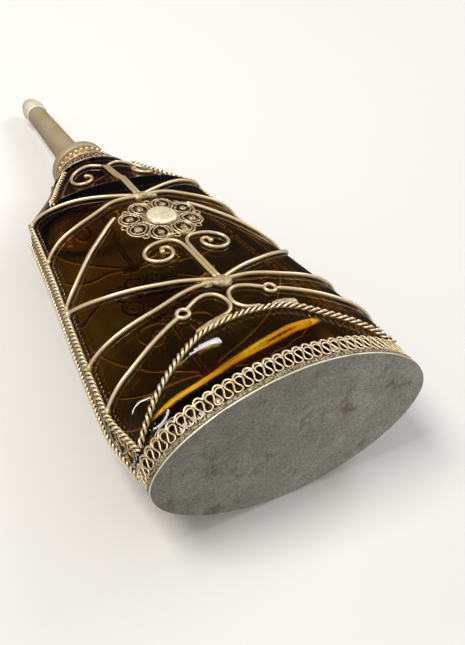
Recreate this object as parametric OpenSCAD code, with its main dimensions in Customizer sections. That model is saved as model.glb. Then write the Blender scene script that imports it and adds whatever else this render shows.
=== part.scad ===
// Rose-water and perfume sprinkler bottle: a flattened, tapering glass flask in a
// soldered cage of wire, rope and filigree, with a screw-on spout and a pull-off cap.
// The flask stands on z = 0. X runs along its width, -Y is the front, +Z is up.

/* [Base] */
// Width of the oval base plate
base_w = 88; // [82:1:94]
// Depth of the oval base plate
base_d = 51; // [49:1:54]
// Roundness of the oval: 2 is an ellipse, less gives pointed ends
base_round = 1.86; // [1.8:0.02:2]
// Thickness of the base plate
plate_t = 0.9; // [0.7:0.1:1.2]

/* [Gallery] */
// Height of the wire gallery above the table
gallery_h = 8.4; // [7.5:0.1:9.5]
// Height of the plain strip under the gallery's wire
strip_h = 1.5; // [1.2:0.1:1.8]
// Number of loops in the gallery's wire
gallery_loops = 74; // [60:2:80]

/* [Flask] */
// Width of the glass at its foot
foot_w = 86; // [84:0.2:86.2]
// Depth of the glass at its foot
foot_d = 41.2; // [38:0.2:43]
// Width of the glass at its shoulder
shoulder_w = 64; // [60:1:68]
// Depth of the glass at its shoulder
shoulder_d = 29.2; // [27:0.2:31]
// Height of the shoulder
shoulder_z = 116; // [112:1:118]
// Thickness of the glass
glass_t = 2.4; // [2:0.1:3]

/* [Neck and spout] */
// Height of the root of the neck
neck_z = 144.6; // [143.6:0.2:145.6]
// Radius of the flange at the foot of the spout
flange_r = 10.9; // [10.8:0.1:11.6]
// Height of the top of the cap
top_z = 212.5; // [211:0.5:216]
// Pitch of the spout's thread
thread_pitch = 2.5; // [2.4:0.1:2.6]

/* [Wire] */
// Radius of a plain wire
wire_r = 0.6; // [0.55:0.05:0.75]
// Radius of a scroll's wire
scroll_r = 0.55; // [0.5:0.05:0.6]
// Radius of a twisted rope
rope_r = 0.95; // [0.9:0.05:1]
// Sideways place of the front ornament, which is not quite in the middle
front_shift = 1.2; // [0:0.1:1.5]

/* [Hidden] */
$fn = 48;

silver = [0.77, 0.72, 0.60];
tarnished = [0.50, 0.49, 0.45];
amber = [0.36, 0.19, 0.05];

foot_z = plate_t;            // underside of the glass
foot_round = 2.2;            // roundness of the glass section at its foot
heel = [[0, 3.4], [1.3, 1.6], [4, 0.5], [8, 0]]; // height on the glass and how far it is drawn in
floor_t = 5;                 // thickness of the glass floor
neck_r = 7.3;                // glass neck, outside
neck_bore_r = 4.6;           // glass neck, inside
neck_top = neck_z + 3.7;
ferrule_r = 9.6;
ferrule_top = neck_top + 0.9;
gap = 0.05;                  // between faces that turn on each other
washer_t = 0.5;
spout_z = ferrule_top + washer_t + 2 * gap;
flange_t = 4;
spigot_r = 3.4;              // thread core on the ferrule
spigot_bore_r = 2.4;
spigot_h = 7.2;
socket_r = 4.2;              // bore in the foot of the spout
thread_h = 0.55;             // height of each thread above its core
cap_z = top_z - 13.4;        // shoulder on which the cap sits
nipple_r = 3;
channel_r = 1.6;
trim_gap = 0.08;             // between the glass and the wires on it
belly = 3.1;                 // how far each narrow side swells out of a straight taper above the gallery
ring_shift = -1.5;           // sideways place of the ring loops

// ---- the flask's outer surface --------------------------------------------
// Half width and half depth at height z, and the roundness of the section there
function taper(z) = (z - foot_z) / (shoulder_z - foot_z);
function climb(z) = min(1, max(0, (z - shoulder_z) / (neck_z - shoulder_z)));
// The swelling of the narrow sides: it rises out of the gallery and dies away below the shoulder
function ease(t) = 0.5 - 0.5 * cos(180 * min(1, max(0, t)));
function swell(z) = belly * ease((z - 6) / 20) * (1 - ease((z - 20) / 98));
function half_w(z) = z <= shoulder_z
    ? foot_w / 2 + (shoulder_w - foot_w) / 2 * taper(z) + swell(z)
    : shoulder_w / 2 - (shoulder_w / 2 - 11.8) * pow(climb(z), 0.85);
function half_d(z) = z <= shoulder_z
    ? foot_d / 2 + (shoulder_d - foot_d) / 2 * taper(z)
    : shoulder_d / 2 - (shoulder_d / 2 - 10) * pow(climb(z), 0.62);
function roundness(z) = foot_round + 0.12 * min(1, taper(z)) - 0.3 * climb(z);

function spow(v, e) = sign(v) * pow(abs(v), e);
function oval(a, b, m, t) = [a * spow(cos(t), 2 / m), b * spow(sin(t), 2 / m)];
function unit(v) = v / norm(v);
// A point of the front, lifted off the glass
function front(x, z, lift) =
    let (a = half_w(z) + lift, b = half_d(z) + lift, m = roundness(z))
    [x, -b * pow(max(0, 1 - pow(abs(x) / a, m)), 1 / m), z];
// Outward direction of the surface at a point on or near it
function outward(p) =
    let (a = half_w(p.z), b = half_d(p.z), m = roundness(p.z))
    unit([spow(p.x / a, m - 1) / a, spow(p.y / b, m - 1) / b, p.z > shoulder_z ? 0.03 : 0.004]);

// ---- curves and tubes -----------------------------------------------------
// A smooth curve through the points p, with n steps between neighbours
function between(a, b, c, d, t) =
    0.5 * (2 * b + (c - a) * t + (2 * a - 5 * b + 4 * c - d) * t * t
    + (3 * b - 3 * c + d - a) * t * t * t);
function curve(p, n) = let (k = len(p) - 1) [
    for (i = [0 : k - 1]) for (j = [0 : n - 1])
        between(p[max(i - 1, 0)], p[i], p[i + 1], p[min(i + 2, k)], j / n),
    p[k]];
function on_front(p, n, lift) = [for (q = curve(p, n)) front(q.x, q.y, lift)];
function mirrored(p) = [for (q = p) [-q.x, q.y]];
function shifted(p, dx) = [for (q = p) [q.x + dx, q.y]];

// A tube of radius r along the points p; closed joins its ends
module tube(p, r, sides = 6, closed = false) {
    n = len(p);
    last = closed ? n : n - 1;
    rings = [for (i = [0 : n - 1])
        let (a = closed ? p[(i + n - 1) % n] : p[max(i - 1, 0)],
             b = closed ? p[(i + 1) % n] : p[min(i + 1, n - 1)],
             t = unit(b - a), u = unit(cross(outward(p[i]), t)), w = cross(t, u))
        for (k = [0 : sides - 1]) p[i] + r * (cos(360 * k / sides) * u + sin(360 * k / sides) * w)];
    walls = [for (i = [0 : last - 1]) for (k = [0 : sides - 1])
        let (j = (i + 1) % n, l = (k + 1) % sides)
        each [[i * sides + k, j * sides + k, j * sides + l], [i * sides + k, j * sides + l, i * sides + l]]];
    caps = closed ? [] : [[for (k = [0 : sides - 1]) k],
        [for (k = [sides - 1 : -1 : 0]) (n - 1) * sides + k]];
    polyhedron(rings, concat(walls, caps));
}

// A closed skin over rings of equal length: capped at both ends, or looped from last to first
module skin(rings, looped = false) {
    n = len(rings[0]);
    k = len(rings);
    polyhedron([for (ring = rings) each ring], concat(
        [for (i = [0 : looped ? k - 1 : k - 2]) for (j = [0 : n - 1]) let (l = (j + 1) % n, m = (i + 1) % k)
            each [[i * n + j, m * n + l, i * n + l], [i * n + j, m * n + j, m * n + l]]],
        looped ? [] : [[for (j = [0 : n - 1]) j], [for (j = [n - 1 : -1 : 0]) (k - 1) * n + j]]));
}
function level(a, b, m, z, n) = [for (j = [0 : n - 1]) [each oval(a, b, m, 360 * j / n), z]];

// Places children on the front surface, with +Z pointing off the glass and +Y up it
module on_glass(x, z, lift) {
    p = front(x, z, lift);
    o = outward(p);
    translate(p) rotate([0, 0, atan2(o.x, -o.y)]) rotate([90, 0, 0]) children();
}
module face(back) { rotate([0, 0, back ? 180 : 0]) children(); }

// ---- glass ----------------------------------------------------------------
module glass_bottle() {
    sides = 48;
    upper_z = [13, 18, 24, 32, 44, 60, 84, 110, shoulder_z, 117, 118.5, 120.5, 123, 126, 129, 132, 136, 140,
        neck_z];
    // Levels of the inside, and how far each is drawn in beyond the glass's own thickness
    inner_z = [138, 132, 126, 121, 116, 108, 84, 60, 40, 28, 18, 12, foot_z + floor_t + 2, foot_z + floor_t];
    inset = [3.2, 2.6, 2.4, 2.4, 2.6, 0, 0, 0, 0, 0, 0, 0.2, 0.8, 3.2];
    color(amber, 0.8) skin(concat(
        [for (h = heel) let (z = foot_z + h[0])
            level(half_w(z) - h[1], half_d(z) - h[1], roundness(z), z, sides)],
        [for (z = upper_z) level(half_w(z), half_d(z), roundness(z), z, sides)],
        [level(neck_r, neck_r, 2, neck_z, sides), level(neck_r, neck_r, 2, neck_top, sides),
         level(neck_bore_r, neck_bore_r, 2, neck_top, sides),
         level(neck_bore_r, neck_bore_r, 2, neck_z - 2, sides)],
        [for (i = [0 : len(inner_z) - 1]) let (z = inner_z[i], d = glass_t + inset[i])
            level(half_w(z) - d, half_d(z) - d, roundness(z), z, sides)]));
}

// ---- base and gallery -----------------------------------------------------
module base_oval(d) {
    polygon([for (j = [0 : 95]) oval(base_w / 2 - d, base_d / 2 - d, base_round, 360 * j / 96)]);
}
module base_plate() { color(tarnished) linear_extrude(plate_t) base_oval(0); }
module base_strip() {
    color(silver) translate([0, 0, plate_t]) linear_extrude(strip_h)
        difference() { base_oval(0.3); base_oval(1.1); }
}
// Centre line of the gallery at angle t and height z
function gallery_at(t, z) = [each oval(base_w / 2 - 0.7, base_d / 2 - 0.7, base_round, t), z];
// The same oval at an even share s of its length, from a finely divided outline
fine = [for (j = [0 : 719]) gallery_at(j / 2, 0)];
fine_s = [for (j = 0, s = 0; j <= 720; s = s + norm(fine[(j + 1) % 720] - fine[j % 720]), j = j + 1) s];
function turn_at(s) = lookup(s * fine_s[720], [for (j = [0 : 720]) [fine_s[j], j / 2]]);
module gallery_lattice() {
    r = 0.42;
    low = plate_t + strip_h + r - 0.02;
    high = gallery_h - 1.2;
    mid = (low + high) / 2;
    // One turn of the wire: up to a loop at the top and down to a loop at the foot
    turn = [[0.00, low], [0.30, low + 1.1], [0.24, mid], [0.20, high - 1], [0.50, high],
            [0.80, high - 1], [0.76, mid], [0.70, low + 1.1]];
    color(silver) tube([for (i = [0 : gallery_loops - 1]) for (q = turn)
        gallery_at(turn_at((i + q.x) / gallery_loops), q.y)], r, 4, true);
}
module gallery_top_wire() {
    n = 96;
    color(silver) tube([for (i = [0 : n - 1]) gallery_at(turn_at(i / n), gallery_h - 0.45)], 0.45, 6, true);
}

// ---- ropes and lattice on the narrow sides --------------------------------
side_y = 3.6;                // half the distance between the two ropes of a side
splay = 1.4;                 // how much further apart they stand at their feet
rope_foot_z = gallery_h + 0.7;
rope_top_z = shoulder_z + 0.2;
function rope_y(z) = side_y + splay * pow(min(1, max(0, (26 - z) / 17.5)), 1.2);
function side_x(z, y, lift) =
    let (a = half_w(z) + lift, b = half_d(z) + lift, m = roundness(min(z, shoulder_z)))
    a * pow(1 - pow(abs(y) / b, m), 1 / m);
function side_point(z, y, lift) = [side_x(z, y, lift), y, z];
// sx and sy are the signs of the side
rope_levels = [rope_foot_z, 12, 15, 18.5, 22, 26, 32, 40, 50, 62, 76, 92, rope_top_z];
module side_rope(sx, sy) {
    lift = rope_r + trim_gap;
    color(silver) mirror([sx < 0 ? 1 : 0, 0, 0])
        tube([for (z = rope_levels) side_point(z, sy * rope_y(z), lift)], rope_r, 8);
}
module side_lattice(sx) {
    r = 0.45;
    steps = 72;
    across = [-1, 0, 1, 0];
    color(silver) mirror([sx < 0 ? 1 : 0, 0, 0])
        tube([for (i = [0 : steps]) let (z = rope_foot_z + 1.5 + i * (rope_top_z - rope_foot_z - 3) / steps)
            side_point(z, across[i % 4] * (rope_y(z) - rope_r - r - 0.1), r + trim_gap)], r, 4);
}

// ---- wires on the broad faces ---------------------------------------------
// Every outline is given as [x, z] on the face, for the half with x > 0
upper_joint = [0, 102];
lower_joint = [0.3, 47];
rib_a = [[1, 102.6], [9.5, 106.3], [17.8, 109.8], [25.5, 112.4], [31.4, 115.4]];
rib_b = [[1, 101.8], [6, 102.5], [10.7, 101.9], [15.1, 99.9], [19.1, 98.3], [24.8, 96.7], [30.2, 95.5],
    [33.9, 93.6]];
rib_c = [[13.4, 92.6], [16, 90.5], [21, 85.7], [25.7, 81.4], [30.5, 76.4], [34.2, 72.6], [36.9, 69.4]];
rib_d = [[1.5, 48.3], [5.4, 50], [10.7, 52.1], [16.2, 53.8], [21.4, 55.7], [26.6, 57.7], [31.6, 60.1],
    [36.2, 63.6], [38, 67]];
rib_e = [[3, 47.4], [8.4, 47.4], [13.3, 46.6], [20.6, 44.7], [26.8, 43.9], [32.8, 43.4], [37.5, 43.1],
    [40, 43.1]];
rib_f = [[16.6, 37.6], [19.6, 36.4], [23.6, 34.6], [27.6, 32.8], [31.6, 30.9], [35.4, 29.3], [39, 28.1],
    [42, 26]];
// The arch rope's left end runs out to the side ropes, its right end comes down on the gallery
arch_left = [[0, 30.6], [5.8, 30.1], [10.7, 29.5], [15.9, 28.2], [23.2, 24.5], [29.6, 20.3], [34.7, 16.5],
    [38.9, 12.6], [42, 9.6]];
arch_right = [[5.8, 30.1], [10.7, 29.3], [14.6, 27.6], [17.6, 25.2], [20.9, 22.5], [24.5, 19.9], [27.5, 17.8],
    [30.5, 15.5], [33.8, 12.9], [37.4, 9.3]];
// Where the front's surface meets the side rope at height z
function edge_x(z) =
    let (lift = wire_r + trim_gap, a = half_w(z) + lift, b = half_d(z) + lift, m = roundness(z))
    a * pow(1 - pow((rope_y(z) + 0.7) / b, m), 1 / m);
// A rib's points, moved sideways by dx at its root, with its end on the side rope
function rib_points(p, dx) = let (last = len(p) - 1, z = p[last].y, x = edge_x(z) * sign(p[last].x)) concat(
    [for (i = [0 : last - 1]) [p[i].x + dx * (1 - pow(p[i].x / 42, 2)), p[i].y]], [[x, z]]);
module wire_pair(p, n, r, dx) {
    tube(on_front(rib_points(p, dx), n, r + trim_gap), r);
    tube(on_front(mirrored(rib_points(p, -dx)), n, r + trim_gap), r);
}
module rib_wires(back) {
    color(silver) face(back) {
        for (p = [rib_a, rib_b, rib_c, rib_d, rib_e]) wire_pair(p, 2, wire_r, back ? 0 : front_shift);
        wire_pair(rib_f, 2, wire_r, back ? 0 : ring_shift);
    }
}
module arch_rope(back) {
    last = len(arch_left) - 1;
    whole = concat([for (i = [last : -1 : 0]) [-arch_left[i].x, arch_left[i].y]], arch_right);
    color(silver) face(back) tube(on_front(whole, 2, rope_r + trim_gap), rope_r);
}
// A flat, round-edged drop of solder
module drop(r, t) {
    rotate_extrude($fn = 32) polygon([[0, 0], [r - 0.2, 0], [r, 0.3], [r * 0.92, 0.75 * t],
        [r * 0.6, 0.95 * t], [0, t]]);
}
module pad(length, width, t) {
    translate([0, 0, t / 2]) cube([length - width, width, t], center = true);
    for (e = [-1, 1]) translate([e * (length - width) / 2, 0, 0]) cylinder(h = t, r = width / 2, $fn = 24);
}
module solder_joints(back) {
    dx = back ? 0 : front_shift;
    spots = [[upper_joint.x, upper_joint.y, 2.2], [lower_joint.x, lower_joint.y, 2.5],
        [lower_joint.x - 4.6, lower_joint.y + 0.8, 1.7]];
    color(silver) face(back) {
        for (s = spots) on_glass(s.x + dx, s.y, trim_gap) drop(s.z, 2);
        // Flat pads that join the arcs to the arch rope: centre, length and slope
        for (s = [[-10.7, 30.5, 10.5, 10], [12.4, 30.5, 8.5, -7]])
            on_glass(s.x + (back ? -ring_shift : 0), s.y, trim_gap + 0.12) rotate(s[3]) pad(s[2], 2.4, 0.9);
    }
}

// ---- rosette --------------------------------------------------------------
rosette_z = 85.6;
module ring(r, wire) { rotate_extrude($fn = 32) translate([r, 0]) circle(wire, $fn = 16); }
module rosette(back) {
    dx = back ? 0 : front_shift;
    r = 0.5;
    color(silver) face(back) for (k = [0 : 7]) {
        a = 22.5 + 45 * k;
        on_glass(dx + 10.3 * cos(a), rosette_z + 8.6 * sin(a), r + trim_gap + 0.2) {
            ring(3.25, r);
            translate([0, 0, -0.5]) cylinder(h = 1.2, r = 1.6);
        }
    }
}
module rosette_disc(back) {
    dx = back ? 0 : front_shift;
    color([0.86, 0.83, 0.74]) face(back) on_glass(dx, rosette_z, trim_gap + 0.2)
        rotate_extrude() polygon([[0, 0], [3.6, 0], [3.6, 1.1], [4.7, 1.4], [4.8, 1.8], [4.2, 2.15],
            [2.4, 2.45], [0, 2.55]]);
}

// ---- scrolls, stems and ring loops ----------------------------------------
// Right-hand scroll under the rosette, which runs up from the lower joint
scroll = [[0.65, 49.8], [0.65, 58], [0.7, 66], [1.2, 70.6], [3.4, 73], [7, 73.4], [10.6, 72.6], [13.4, 70.4],
    [14.1, 67.4], [12.6, 64.8], [9.8, 63.6], [7, 64.6], [5.4, 67.2], [5.9, 69.6], [7.9, 69.9], [8.4, 68.2]];
module stem_scrolls(back) {
    dx = back ? 0 : front_shift;
    color(silver) face(back) {
        tube(on_front(shifted(scroll, dx), 2, scroll_r + trim_gap), scroll_r);
        tube(on_front(shifted(mirrored(scroll), dx), 2, scroll_r + trim_gap), scroll_r);
    }
}
// Half of the pair of arcs between the lower joint and the arch rope
arc_half = [[12.1, 39.9], [8, 42.2], [4.6, 42.8], [1.9, 41.3], [0.72, 38.4], [0.95, 35.4], [2.9, 33],
    [6.3, 31.9]];
module ring_loops(back) {
    dx = back ? 0 : ring_shift;
    color(silver) face(back) for (s = [-1, 1]) {
        p = s > 0 ? arc_half : mirrored(arc_half);
        tube(on_front(shifted(p, dx), 2, scroll_r + trim_gap), scroll_r);
        on_glass(dx + s * 14.2, 38.5, scroll_r + trim_gap) ring(1.75, scroll_r);
    }
}
shoulder_half = [[1.6, 131.2], [5.4, 133.4], [9.6, 132.8], [13, 130], [14.6, 126], [14, 121.8], [11.4, 120.4],
    [8.8, 122.2], [8, 125], [9.2, 126.2]];
module shoulder_scrolls(back) {
    dx = back ? 0 : front_shift;
    color(silver) face(back) for (s = [-1, 1]) {
        p = s > 0 ? shoulder_half : mirrored(shoulder_half);
        tube(on_front(shifted(p, dx), 2, scroll_r + trim_gap), scroll_r);
    }
}
module shoulder_stem(back) {
    dx = back ? 0 : front_shift;
    color(silver) face(back) for (s = [-1, 1])
        tube([for (z = [104.4, 110, 115.8, 117, 118.5, 120.5, 123, 126, 130.4])
            front(dx + s * 0.65, z, scroll_r + trim_gap + 0.1)], scroll_r);
}
shoulder_run_left = [[12.6, 135], [15.6, 131], [18.6, 126.4], [21.6, 121], [24.2, 117], [25.2, 113.6]];
shoulder_run_right = [[14.4, 136.6], [16.2, 133.5], [18.2, 129.8], [20.8, 126], [24, 122.6], [27.4, 119.3],
    [30, 116.6]];
// The front's two ropes run differently; the back repeats the front, half a turn round
module shoulder_rope(sx) {
    runs = [mirrored(shoulder_run_left), shoulder_run_right];
    lift = rope_r + trim_gap + 0.2;
    color(silver) {
        tube(on_front(runs[sx < 0 ? 0 : 1], 2, lift), rope_r);
        face(true) tube(on_front(runs[sx < 0 ? 1 : 0], 2, lift), rope_r);
    }
}
// A plain wire down each edge of the shoulder; its points are [height, distance off the glass]
module shoulder_loop(sx) {
    color(silver) mirror([sx < 0 ? 1 : 0, 0, 0]) tube([
        for (q = curve([[142.5, 1], [137, 0.2], [131, 1], [125, 2.2], [120.6, 1.8], [117.6, 0.2]], 2))
            [half_w(q.x) + scroll_r + q.y, 0, q.x]], scroll_r);
}

// ---- neck -----------------------------------------------------------------
module neck_skirt() {
    sides = 48;
    low = 139.4;
    high = neck_z - 0.1;
    color(silver) skin([for (q = [[low, 0.3], [low, 1], [high, 1], [high, 0.3]])
        level(half_w(q.x) + q.y, half_d(q.x) + q.y, roundness(q.x), q.x, sides)], true);
}
module bead_ring() {
    n = 30;
    r = 0.85;
    color(silver) for (i = [0 : n - 1]) rotate(360 * i / n)
        translate([ferrule_r + r + 0.02, 0, neck_z + 3.1]) sphere(r, $fn = 16);
}
module neck_cement() {
    color("ivory") translate([0, 0, neck_z]) difference() {
        cylinder(h = neck_top - neck_z, r = neck_r + 0.4);
        translate([0, 0, -1]) cylinder(h = 10, r = neck_r);
    }
}
// A thread of right-hand pitch on a core of radius core; side 1 stands out, -1 in
module thread(core, side, z0, turns) {
    per = 24;
    n = round(turns * per);
    half = 0.45;
    tip = 0.22;
    pts = [for (i = [0 : n])
        let (a = 360 * i / per, z = z0 + thread_pitch * i / per, fade = min(1, min(i, n - i) / 3 + 0.02))
        let (inner = core - side * 0.15, outer = core + side * thread_h * fade)
        for (q = [[inner, -half], [outer, -tip], [outer, tip], [inner, half]])
            [q.x * cos(a), q.x * sin(a), z + q.y]];
    order = side > 0 ? [0, 1, 2, 3] : [3, 2, 1, 0];
    polyhedron(pts, concat(
        [for (i = [0 : n - 1]) for (k = [0 : 3]) let (a = order[k], b = order[(k + 1) % 4])
            each [[4 * i + a, 4 * i + b, 4 * i + 4 + b], [4 * i + a, 4 * i + 4 + b, 4 * i + 4 + a]]],
        [[for (k = [3 : -1 : 0]) order[k]], [for (k = [0 : 3]) 4 * n + order[k]]]));
}
module neck_ferrule() {
    color(silver) union() {
        rotate_extrude() polygon([[spigot_bore_r, neck_top], [neck_r + 0.4, neck_top], [neck_r + 0.4, neck_z],
            [ferrule_r, neck_z], [ferrule_r, ferrule_top], [spigot_r, ferrule_top],
            [spigot_r, ferrule_top + spigot_h - 0.3], [spigot_r - 0.3, ferrule_top + spigot_h],
            [spigot_bore_r, ferrule_top + spigot_h]]);
        thread(spigot_r, 1, ferrule_top + 1.5, 2);
    }
}

// ---- spout ----------------------------------------------------------------
module sealing_washer() {
    color("tan") translate([0, 0, ferrule_top + gap]) difference() {
        cylinder(h = washer_t, r = 8.6);
        translate([0, 0, -1]) cylinder(h = 3, r = 4.3);
    }
}
module sprinkler_spout() {
    socket_top = spout_z + 7.6;
    tip_z = cap_z + 4.6;
    color([0.66, 0.61, 0.50]) union() {
        rotate_extrude() polygon([[socket_r, spout_z], [flange_r - 0.5, spout_z], [flange_r, spout_z + 0.6],
            [flange_r, spout_z + flange_t - 0.8], [flange_r - 0.8, spout_z + flange_t],
            [6.4, spout_z + flange_t + 0.2], [5.5, spout_z + flange_t + 1.2], [5.2, spout_z + flange_t + 4],
            [3.95, cap_z], [nipple_r, cap_z], [nipple_r, tip_z - 0.3], [nipple_r - 0.3, tip_z],
            [channel_r + 0.5, tip_z], [channel_r + 0.5, tip_z - 0.8], [channel_r, tip_z - 0.8],
            [channel_r, socket_top], [socket_r, socket_top]]);
        thread(socket_r, -1, ferrule_top + 1.5 + thread_pitch / 2, 1.7);
    }
}
module sprinkler_disc() {
    tip_z = cap_z + 4.6;
    color(silver) translate([0, 0, tip_z - 0.8]) difference() {
        cylinder(h = 0.8, r = channel_r + 0.5);
        for (k = [0 : 4]) rotate(72 * k) translate([1.15, 0, -1]) cylinder(h = 3, r = 0.3, $fn = 16);
        translate([0, 0, -1]) cylinder(h = 3, r = 0.3, $fn = 16);
    }
}
module spout_cap() {
    bore = nipple_r + 0.1;
    low = cap_z + 0.1;
    color([0.84, 0.80, 0.68]) rotate_extrude() difference() {
        polygon([[0, low], [4.1, low], [4.45, low + 0.5], [4.6, low + 3], [4.45, low + 6], [3.9, low + 8.8],
            [2.9, low + 11.2], [1.7, low + 12.7], [0.7, top_z - 0.1], [0, top_z]]);
        translate([0, low - 1]) square([bore, 6.2]);
    }
}

glass_bottle();
base_plate();
base_strip();
gallery_lattice();
gallery_top_wire();
side_rope(-1, -1);  // side_rope_left_front
side_rope(-1, 1);  // side_rope_left_back
side_rope(1, -1);  // side_rope_right_front
side_rope(1, 1);  // side_rope_right_back
side_lattice(-1);  // side_lattice_left
side_lattice(1);  // side_lattice_right
arch_rope(false);  // arch_rope_front
arch_rope(true);  // arch_rope_back
rib_wires(false);  // rib_wires_front
rib_wires(true);  // rib_wires_back
solder_joints(false);  // solder_joints_front
solder_joints(true);  // solder_joints_back
rosette(false);  // rosette_front
rosette(true);  // rosette_back
rosette_disc(false);  // rosette_disc_front
rosette_disc(true);  // rosette_disc_back
stem_scrolls(false);  // stem_scrolls_front
stem_scrolls(true);  // stem_scrolls_back
ring_loops(false);  // ring_loops_front
ring_loops(true);  // ring_loops_back
shoulder_scrolls(false);  // shoulder_scrolls_front
shoulder_scrolls(true);  // shoulder_scrolls_back
shoulder_stem(false);  // shoulder_stem_front
shoulder_stem(true);  // shoulder_stem_back
shoulder_rope(-1);  // shoulder_rope_left
shoulder_rope(1);  // shoulder_rope_right
shoulder_loop(-1);  // shoulder_loop_left
shoulder_loop(1);  // shoulder_loop_right
neck_skirt();
bead_ring();
neck_cement();
neck_ferrule();
sealing_washer();
sprinkler_spout();
sprinkler_disc();
spout_cap();
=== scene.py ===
import math
import random

import bmesh
import bpy
from mathutils import Matrix, Vector, noise


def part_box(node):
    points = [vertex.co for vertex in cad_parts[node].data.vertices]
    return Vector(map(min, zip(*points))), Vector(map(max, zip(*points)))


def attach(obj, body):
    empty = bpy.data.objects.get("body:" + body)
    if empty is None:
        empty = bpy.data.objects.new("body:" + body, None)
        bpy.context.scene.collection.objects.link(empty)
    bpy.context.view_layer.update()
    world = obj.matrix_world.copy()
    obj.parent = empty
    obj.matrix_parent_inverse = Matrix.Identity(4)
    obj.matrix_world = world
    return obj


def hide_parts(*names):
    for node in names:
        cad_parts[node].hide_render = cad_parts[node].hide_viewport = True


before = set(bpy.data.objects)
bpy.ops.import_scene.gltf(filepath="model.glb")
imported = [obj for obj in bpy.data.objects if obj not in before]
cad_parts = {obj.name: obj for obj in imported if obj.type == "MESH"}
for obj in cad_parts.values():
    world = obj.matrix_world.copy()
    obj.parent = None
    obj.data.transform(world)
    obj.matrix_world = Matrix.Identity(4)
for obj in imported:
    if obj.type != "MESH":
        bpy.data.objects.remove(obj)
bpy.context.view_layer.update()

# The looks of a sprinkler bottle: a tapering amber glass flask in a soldered cage of
# silvered wire, twisted rope and filigree. Lengths are in millimetres until a mesh is made.
MM = 0.001
rng = random.Random(7)


def node_box(name):
    """Lowest and highest corner of a CAD node, in millimetres."""
    return [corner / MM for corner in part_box(name)]


# ---- driving dimensions
plate_low, plate_high = node_box("base_plate")
band_low, band_high = node_box("base_strip")
glass_low, glass_high = node_box("glass_bottle")
ferrule_low, ferrule_high = node_box("neck_ferrule")
spout_low, spout_high = node_box("sprinkler_spout")
cap_low, cap_high = node_box("spout_cap")

BASE_W = plate_high.x - plate_low.x
BASE_D = plate_high.y - plate_low.y
BASE_ROUND = 1.86           # 2 is an ellipse, less gives pointed ends
PLATE_T = plate_high.z
STRIP_H = band_high.z - band_low.z
GALLERY_H = node_box("gallery_top_wire")[1].z
GALLERY_LOOPS = 74

FOOT_Z = glass_low.z
FOOT_W, FOOT_D = 86.0, 41.2
SHOULDER_W, SHOULDER_D, SHOULDER_Z = 64.0, 29.2, 116.0
NECK_Z = ferrule_low.z      # root of the glass neck
NECK_TOP = glass_high.z
GLASS_T = 2.4
FLOOR_T = 5.0

WIRE_R = 0.6
ROPE_R = 0.95
ROPE_LAY = 4.1              # length of one turn of a twisted rope
SIDE_LAY = 3.4              # the same for the ropes on the narrow sides
SHOULDER_LAY = 3.6
SCROLL_R = 0.55
TRIM_GAP = 0.08             # between the glass and the wires on it
BELLY = 3.1                 # how far each narrow side swells out of a straight taper
FRONT_SHIFT = 1.2           # sideways place of the front ornament
RING_SHIFT = -1.5           # sideways place of the front's ring loops
SIDE_Y = 3.6                # half the distance between the two ropes of a side
SPLAY = 1.4                 # how much further apart they stand at their feet
ROSETTE_Z = 85.6
ROSETTE_LIFT = 0.2          # how much further out the plaque stands than TRIM_GAP
OUTLINE_STEPS = 6           # steps between neighbouring points of an outline


# ---- the flask's outer surface
def clamp(value, low=0.0, high=1.0):
    return max(low, min(high, value))


def taper(z):
    return (z - FOOT_Z) / (SHOULDER_Z - FOOT_Z)


def climb(z):
    return clamp((z - SHOULDER_Z) / (NECK_Z - SHOULDER_Z))


def ease(t):
    return 0.5 - 0.5 * math.cos(math.pi * clamp(t))


def swell(z):
    """Swelling of the narrow sides: it rises out of the gallery and dies away upwards."""
    return BELLY * ease((z - 6) / 20) * (1 - ease((z - 20) / 98))


def half_w(z):
    if z <= SHOULDER_Z:
        return FOOT_W / 2 + (SHOULDER_W - FOOT_W) / 2 * taper(z) + swell(z)
    return SHOULDER_W / 2 - (SHOULDER_W / 2 - 11.8) * climb(z) ** 0.85


def half_d(z):
    if z <= SHOULDER_Z:
        return FOOT_D / 2 + (SHOULDER_D - FOOT_D) / 2 * taper(z)
    return SHOULDER_D / 2 - (SHOULDER_D / 2 - 10) * climb(z) ** 0.62


def roundness(z):
    return 2.2 + 0.12 * min(1.0, taper(z)) - 0.3 * climb(z)


def spow(value, power):
    return math.copysign(abs(value) ** power, value)


def oval(a, b, m, turn):
    """Point of a superellipse; turn goes from 0 to 1 round it."""
    angle = 2 * math.pi * turn
    return a * spow(math.cos(angle), 2 / m), b * spow(math.sin(angle), 2 / m)


def section(z, lift):
    """Half width, half depth and roundness at height z, lift above the glass."""
    return half_w(z) + lift, half_d(z) + lift, roundness(z)


def across(share, m):
    """How far a unit superellipse reaches one way where it is share along the other."""
    return max(0.0, 1 - share ** m) ** (1 / m)


def slope(p, a, b, m, up):
    """Direction square to a superellipse at a point on or near it."""
    return Vector((spow(p.x / a, m - 1) / a, spow(p.y / b, m - 1) / b, up)).normalized()


def front(x, z, lift):
    """A point on the front, at height lift above the glass."""
    a, b, m = section(z, lift)
    return Vector((x, -b * across(abs(x) / a, m), z))


def side_point(z, y, lift):
    """A point on the right-hand side, at height lift above the glass."""
    a, b, _ = section(z, lift)
    return Vector((a * across(abs(y) / b, roundness(min(z, SHOULDER_Z))), y, z))


def rope_y(z):
    """How far each side rope stands from the middle of its side."""
    return SIDE_Y + SPLAY * clamp((26 - z) / 17.5) ** 1.2


def outward(p):
    """Direction away from the glass at a point on or near it."""
    return slope(p, *section(p.z, 0), 0.03 if p.z > SHOULDER_Z else 0.004)


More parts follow.
